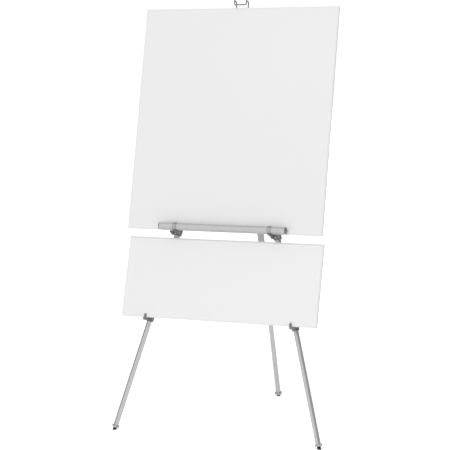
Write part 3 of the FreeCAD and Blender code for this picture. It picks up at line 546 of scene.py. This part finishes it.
def star(inset):
    """Six-lobed outline of a clamp knob, drawn in by an inset."""
    return lambda angle: KNOB_CORE + KNOB_LOBE * (0.5 + 0.5 * math.cos(6 * angle)) ** 1.4 - inset


def hexagon(half_width):
    """Outline of a hexagon socket, by half its width across flats."""
    sixth = math.pi / 3
    return lambda angle: half_width / math.cos((angle + sixth / 2) % sixth - sixth / 2)


def thread(height, root, depth):
    """Outline of a screw thread at a height."""
    turns = height / THREAD_PITCH
    return lambda angle: root + depth * abs(2 * ((turns - angle / (2 * math.pi)) % 1) - 1)


def clamp_knob(node):
    """Lobed knob with a dished top, on a threaded steel screw."""
    axis = joint_axis(f"{node}_turn")
    start, length = round_span(node, axis)
    top = length / MM
    under = top - KNOB_THICK
    neck = under - KNOB_NECK
    rings = [
        (neck, 5.9),
        (neck + 0.6, 6.5),
        (under - 1.0, 6.5),
        (under, 7.6),
        (under, star(3.0)),
        (under + 0.4, star(1.5)),
        (under + 1.4, star(0.4)),
        (under + 2.8, star(0.0)),
        (top - 3.4, star(0.0)),
        (top - 1.7, star(0.4)),
        (top - 0.5, star(1.5)),
        (top, star(3.2)),
        (top, 7.4),
        (top - 0.7, 6.9),
        (top - 0.9, 6.3),
        (top - 0.3, 5.9),
        (top - 0.2, 3.0),
    ]
    shape = bmesh.new()
    add_rings(shape, start, axis, rings, segments=96)
    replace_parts(finished(f"{node}_star", shape, node, "dark_plastic"), node)
    steps = int((neck + 0.5) / THREAD_PITCH * THREAD_STEPS)
    heights = [i * THREAD_PITCH / THREAD_STEPS for i in range(steps)]
    rings = [(0.0, 1.9)] + [(0.3 + height, thread(height, 2.4, 0.5)) for height in heights]
    shape = bmesh.new()
    add_rings(shape, start, axis, rings, segments=32)
    finished(f"{node}_screw", shape, node, "pin_steel", sharp=50)


def socket_head(length, shaft, head, head_high, socket):
    """Rings of a pin with a rounded head and a hexagon socket, from its tip up."""
    under = length - head_high
    return [
        (0.0, shaft - 0.4),
        (0.4, shaft),
        (under, shaft),
        (under, head - 0.2),
        (under + 0.2, head),
        (length - 1.0, head),
        (length - 0.35, head - 0.35),
        (length, head - 1.1),
        (length, socket + 0.7),
        (length - 0.15, hexagon(socket)),
        (length - 1.3, hexagon(socket)),
    ]


def socket_pin(node, axis, shaft, head, head_high, socket):
    """Turned pin or screw in place of a plain one."""
    start, length = round_span(node, axis)
    shape = bmesh.new()
    rings = socket_head(length / MM, shaft, head, head_high, socket)
    add_rings(shape, start, axis, rings, segments=48)
    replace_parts(finished(f"{node}_turned", shape, node, "pin_steel"), node)


PIVOT_PIN = 24.05  # length
PIVOT_TAIL = 11.4  # a knuckle's middle to the pin's tail


def spring_clip(angle):
    """Outline of the clip in a pin's groove, with its gap."""
    return 4.6 if angle > 0.5 else 3.05


def pivot_pins():
    """The hub's three pins, each with a domed head and a spring clip in a groove."""
    shape = bmesh.new()
    for side in SIDES:
        axis = joint_axis(f"{side}_leg_fold")
        tail = joint_point(f"{side}_leg_fold") - axis * PIVOT_TAIL * MM
        add_rings(shape, tail, axis, socket_head(PIVOT_PIN, 3.0, 5.6, 2.2, 1.8), segments=48)
        rings = [(-0.1, 2.6), (-0.1, spring_clip), (0.9, spring_clip), (0.9, 2.6)]
        add_rings(shape, tail, axis, rings, segments=48, closed=True)
    node = "leg_pivot_pins"
    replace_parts(finished(f"{node}_turned", shape, node, "pin_steel"), node)


TIP_RADIUS = 7.2
TIP_GROOVES = (3.2, 5.6, 8.0)  # each groove's lower edge, above the foot
TIP_GROOVE_RADIUS = 6.5
TIP_SHOULDER = 12.2  # where the tip meets the tube
TIP_PLUG = 20.0
TIP_PLUG_RADIUS = 6.9


def foot_tip(side):
    """Grooved rubber tip, cut off flat by the floor."""
    node = f"{side}_foot_tip"
    axis = joint_axis(f"{side}_foot_lock_turn")
    lock_foot = joint_point(f"{side}_foot_lock_turn")
    foot = lock_foot - axis * (lock_foot.z / axis.z)
    rings = [(-4.0, 6.7), (0.6, 7.0), (1.4, TIP_RADIUS)]
    for low in TIP_GROOVES:
        rings += [(low, TIP_RADIUS), (low + 0.2, TIP_GROOVE_RADIUS)]
        rings += [(low + 0.9, TIP_GROOVE_RADIUS), (low + 1.1, TIP_RADIUS)]
    rings += [(TIP_SHOULDER, TIP_RADIUS), (TIP_SHOULDER, TIP_PLUG_RADIUS)]
    rings += [(TIP_SHOULDER + TIP_PLUG, TIP_PLUG_RADIUS)]
    shape = bmesh.new()
    add_rings(shape, foot, axis, rings, segments=64)
    everything = shape.verts[:] + shape.edges[:] + shape.faces[:]
    floor = {"plane_co": (0, 0, 0), "plane_no": (0, 0, 1)}
    bmesh.ops.bisect_plane(shape, geom=everything, clear_inner=True, **floor)
    rim = [edge for edge in shape.edges if edge.is_boundary]
    bmesh.ops.edgeloop_fill(shape, edges=rim)
    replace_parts(finished(f"{node}_grooved", shape, node, "tip_rubber"), node)


BAND_INBOARD = 11.5  # a tray arm's pin to the middle of its band
STRAP_HALF = 6.75  # half the strap's width
# The strap's rim: steps in from its side, and radii.
STRAP_RIM = ((0.0, 13.2), (0.0, 13.9), (0.3, 14.1), (0.8, 14.1), (1.1, 13.85))


def bar_band(side):
    """Thin metal strap round an arm's band, with a rolled rim at each side."""
    node = f"{side}_tray_arm"
    bar_start, _ = round_span("tray_bar", across)
    inboard = BAND_INBOARD * MM if side == "left" else -BAND_INBOARD * MM
    middle = (joint_point(f"{side}_tray_arm_swivel").x + inboard - bar_start.x) / MM
    rings = [(middle - STRAP_HALF + step, radius) for step, radius in STRAP_RIM]
    rings += [(middle + STRAP_HALF - step, radius) for step, radius in reversed(STRAP_RIM)]
    shape = bmesh.new()
    add_rings(shape, bar_start, across, rings, segments=72, closed=True)
    new_piece(f"{side}_bar_strap", shape, body_of[node], materials["band_metal"])


def add_slab(shape, turn, outline, back, front):
    """Flat plate between two depths, from an outline of points across and up."""
    rims = []
    for depth in (back, front):
        rims.append([shape.verts.new(turn @ Vector((x, y, depth))) for x, y in outline])
    count = len(outline)
    for i in range(count):
        j = (i + 1) % count
        shape.faces.new((rims[0][i], rims[0][j], rims[1][j], rims[1][i]))
    shape.faces.new(rims[0][::-1])
    shape.faces.new(rims[1])


CORNER_STEP = 22.5  # degrees between the points of a rounded corner


def rounded_outline(low, high, radius):
    """Rectangle with small rounded corners."""
    points = []
    corners = ((high.x, high.y, 0), (low.x, high.y, 90), (low.x, low.y, 180), (high.x, low.y, 270))
    for x, y, first in corners:
        inward_x = -radius if x == high.x else radius
        inward_y = -radius if y == high.y else radius
        for step in range(5):
            angle = math.radians(first + step * CORNER_STEP)
            reach_x, reach_y = radius * math.cos(angle), radius * math.sin(angle)
            points.append((x + inward_x + reach_x, y + inward_y + reach_y))
    return points


EDGE_STEPS = 60  # points along each side of a foam core


def pressed_outline(low, high, inset, wave):
    """The same rectangle drawn in, its sides slightly uneven, as a cut foam edge is."""
    points = []
    corners = [(high.x, high.y), (low.x, high.y), (low.x, low.y), (high.x, low.y)]
    middle = (low + high) / 2
    for (x0, y0), (x1, y1) in zip(corners, corners[1:] + corners[:1]):
        for step in range(EDGE_STEPS):
            part = step / EDGE_STEPS
            x = x0 + (x1 - x0) * part
            y = y0 + (y1 - y0) * part
            drawn = inset + wave * math.sin(x * 310 + y * 170) * math.sin(x * 83 - y * 127 + 1)
            x -= math.copysign(min(drawn, abs(x - middle.x)), x - middle.x)
            y -= math.copysign(min(drawn, abs(y - middle.y)), y - middle.y)
            points.append((x, y))
    return points


SKIN = 0.45 * MM
CORNER_RADIUS = 1.2 * MM
CORE_INSET = 0.45 * MM
CORE_WAVE = 0.2 * MM


def layered_board(node):
    """Two laminate skins on a foam core that sits back a little between them."""
    turn, low, high = board_axes(node)
    shape = bmesh.new()
    outline = rounded_outline(low, high, CORNER_RADIUS)
    add_slab(shape, turn, outline, low.z, low.z + SKIN)
    add_slab(shape, turn, outline, high.z - SKIN, high.z)
    skins = new_piece(f"{node}_skins", shape, body_of[node], materials[node])
    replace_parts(skins, node)
    shape = bmesh.new()
    outline = pressed_outline(low, high, CORE_INSET, CORE_WAVE)
    add_slab(shape, turn, outline, low.z + SKIN / 2, high.z - SKIN / 2)
    new_piece(f"{node}_core", shape, body_of[node], materials["foam_core"])


for node in ("mast_knob", "left_tray_knob", "right_tray_knob"):
    clamp_knob(node)
for side in FRONT_SIDES:
    socket_pin(f"{side}_tray_pin", forward, 3.0, 4.9, 2.2, 2.0)
    socket_pin(f"{side}_clip_pin", forward, 2.8, 4.6, 2.2, 1.8)
    pinch = -forward.cross(leg_up[side]).normalized()
    socket_pin(f"{side}_clip_screw", pinch, 1.5, 2.7, 2.4, 1.1)
    bar_band(side)
pivot_pins()
for side in SIDES:
    foot_tip(side)
for node in ("upper_board", "lower_board"):
    layered_board(node)

# ---------------------------------------------------------------- studio

FLOOR_SIZE = 60
FLOOR_GLOW = 0.58
ROOM_WHITE = 1.05  # the surroundings as the camera sees them
ROOM_LIGHT = 0.37
KEY_LIGHT = 1.12
KEY_TOWARD = (0.16, 0.78, -0.60)
KEY_SPREAD = 30
# Soft boxes and dark screens of the room: direction from the easel, cosines of the edge and
# of the full part, and strength.
ROOM_PATCHES = (
    ((-0.26, -0.93, 0.20), 0.88, 0.99, 0.95),
    ((0.90, -0.42, 0.05), 0.80, 0.97, -0.06),
    ((-0.97, 0.22, 0.0), 0.40, 0.90, -0.37),
    ((0.0, -0.25, 0.97), 0.45, 0.98, 0.45),
)


def key_light():
    """Broad, even light from the upper left, in front of the easel."""
    data = bpy.data.lights.new("key", "SUN")
    data.energy = KEY_LIGHT
    data.angle = math.radians(KEY_SPREAD)
    light = bpy.data.objects.new("key", data)
    bpy.context.scene.collection.objects.link(light)
    light.rotation_mode = "QUATERNION"
    light.rotation_quaternion = Vector(KEY_TOWARD).to_track_quat("-Z", "Y")


def white_floor():
    """Plain white floor that throws light back up."""
    mesh = bpy.data.meshes.new("floor")
    shape = bmesh.new()
    bmesh.ops.create_grid(shape, x_segments=1, y_segments=1, size=FLOOR_SIZE)
    shape.to_mesh(mesh)
    shape.free()
    floor = bpy.data.objects.new("floor", mesh)
    bpy.context.scene.collection.objects.link(floor)
    material, tree, shader = new_material("studio_floor")
    coordinates = object_coordinates(tree)
    faint = noise(tree, coordinates, 6.0, 3.0, 0.5)
    tint = tinted(tree, faint, "Fac", 0.3, 0.7, grey(0.90), grey(0.915))
    tree.links.new(tint, shader.inputs["Base Color"])
    shader.inputs["Roughness"].default_value = 0.9
    shader.inputs["Specular IOR Level"].default_value = 0.1
    shader.inputs["Emission Color"].default_value = (1, 1, 1, 1)
    shader.inputs["Emission Strength"].default_value = FLOOR_GLOW
    mesh.materials.append(material)


def white_room():
    """Even white surroundings for the camera, and a softly patterned room for the reflections."""
    world = bpy.data.worlds.new("studio_white")
    bpy.context.scene.world = world
    world.use_nodes = True
    tree = world.node_tree
    seen = tree.nodes["Background"]
    seen.inputs["Color"].default_value = (1, 1, 1, 1)
    seen.inputs["Strength"].default_value = ROOM_WHITE
    room = add_node(tree, "ShaderNodeBackground")
    room.inputs["Color"].default_value = (1, 1, 1, 1)
    direction = add_node(tree, "ShaderNodeTexCoord")
    total = add_node(tree, "ShaderNodeMath", operation="ADD")
    total.inputs[0].default_value = ROOM_LIGHT
    total.inputs[1].default_value = 0.0
    for toward, edge, middle, strength in ROOM_PATCHES:
        facing = add_node(tree, "ShaderNodeVectorMath", operation="DOT_PRODUCT")
        facing.inputs[1].default_value = Vector(toward).normalized()
        link(tree, direction, "Generated", facing, 0)
        patch = ramp(tree, facing, "Value", edge, middle, 0.0, strength)
        patch.interpolation_type = "SMOOTHSTEP"
        sum_node = add_node(tree, "ShaderNodeMath", operation="ADD")
        link(tree, total, "Value", sum_node, 0)
        link(tree, patch, "Result", sum_node, 1)
        total = sum_node
    link(tree, total, "Value", room, "Strength")
    path = add_node(tree, "ShaderNodeLightPath")
    both = add_node(tree, "ShaderNodeMixShader")
    link(tree, path, "Is Camera Ray", both, 0)
    tree.links.new(room.outputs[0], both.inputs[1])
    tree.links.new(seen.outputs[0], both.inputs[2])
    tree.links.new(both.outputs[0], tree.nodes["World Output"].inputs["Surface"])
    bpy.context.scene.view_settings.view_transform = "Standard"
    bpy.context.scene.view_settings.look = "None"


CAMERA_PLACE = (1.7959, -5.0385, 1.3185)
CAMERA_YAW = 20.596
CAMERA_PITCH = 6.050  # downwards
CAMERA_LENS = 111.6


def camera():
    """Eye-level view from the front right, far enough back for a nearly flat perspective."""
    data = bpy.data.cameras.new("camera")
    data.sensor_width = 36.0
    data.lens = CAMERA_LENS
    data.clip_end = 60
    eye = bpy.data.objects.new("camera", data)
    bpy.context.scene.collection.objects.link(eye)
    eye.location = CAMERA_PLACE
    eye.rotation_euler = (math.radians(90 - CAMERA_PITCH), 0, math.radians(CAMERA_YAW))
    bpy.context.scene.camera = eye


white_floor()
white_room()
key_light()
camera()
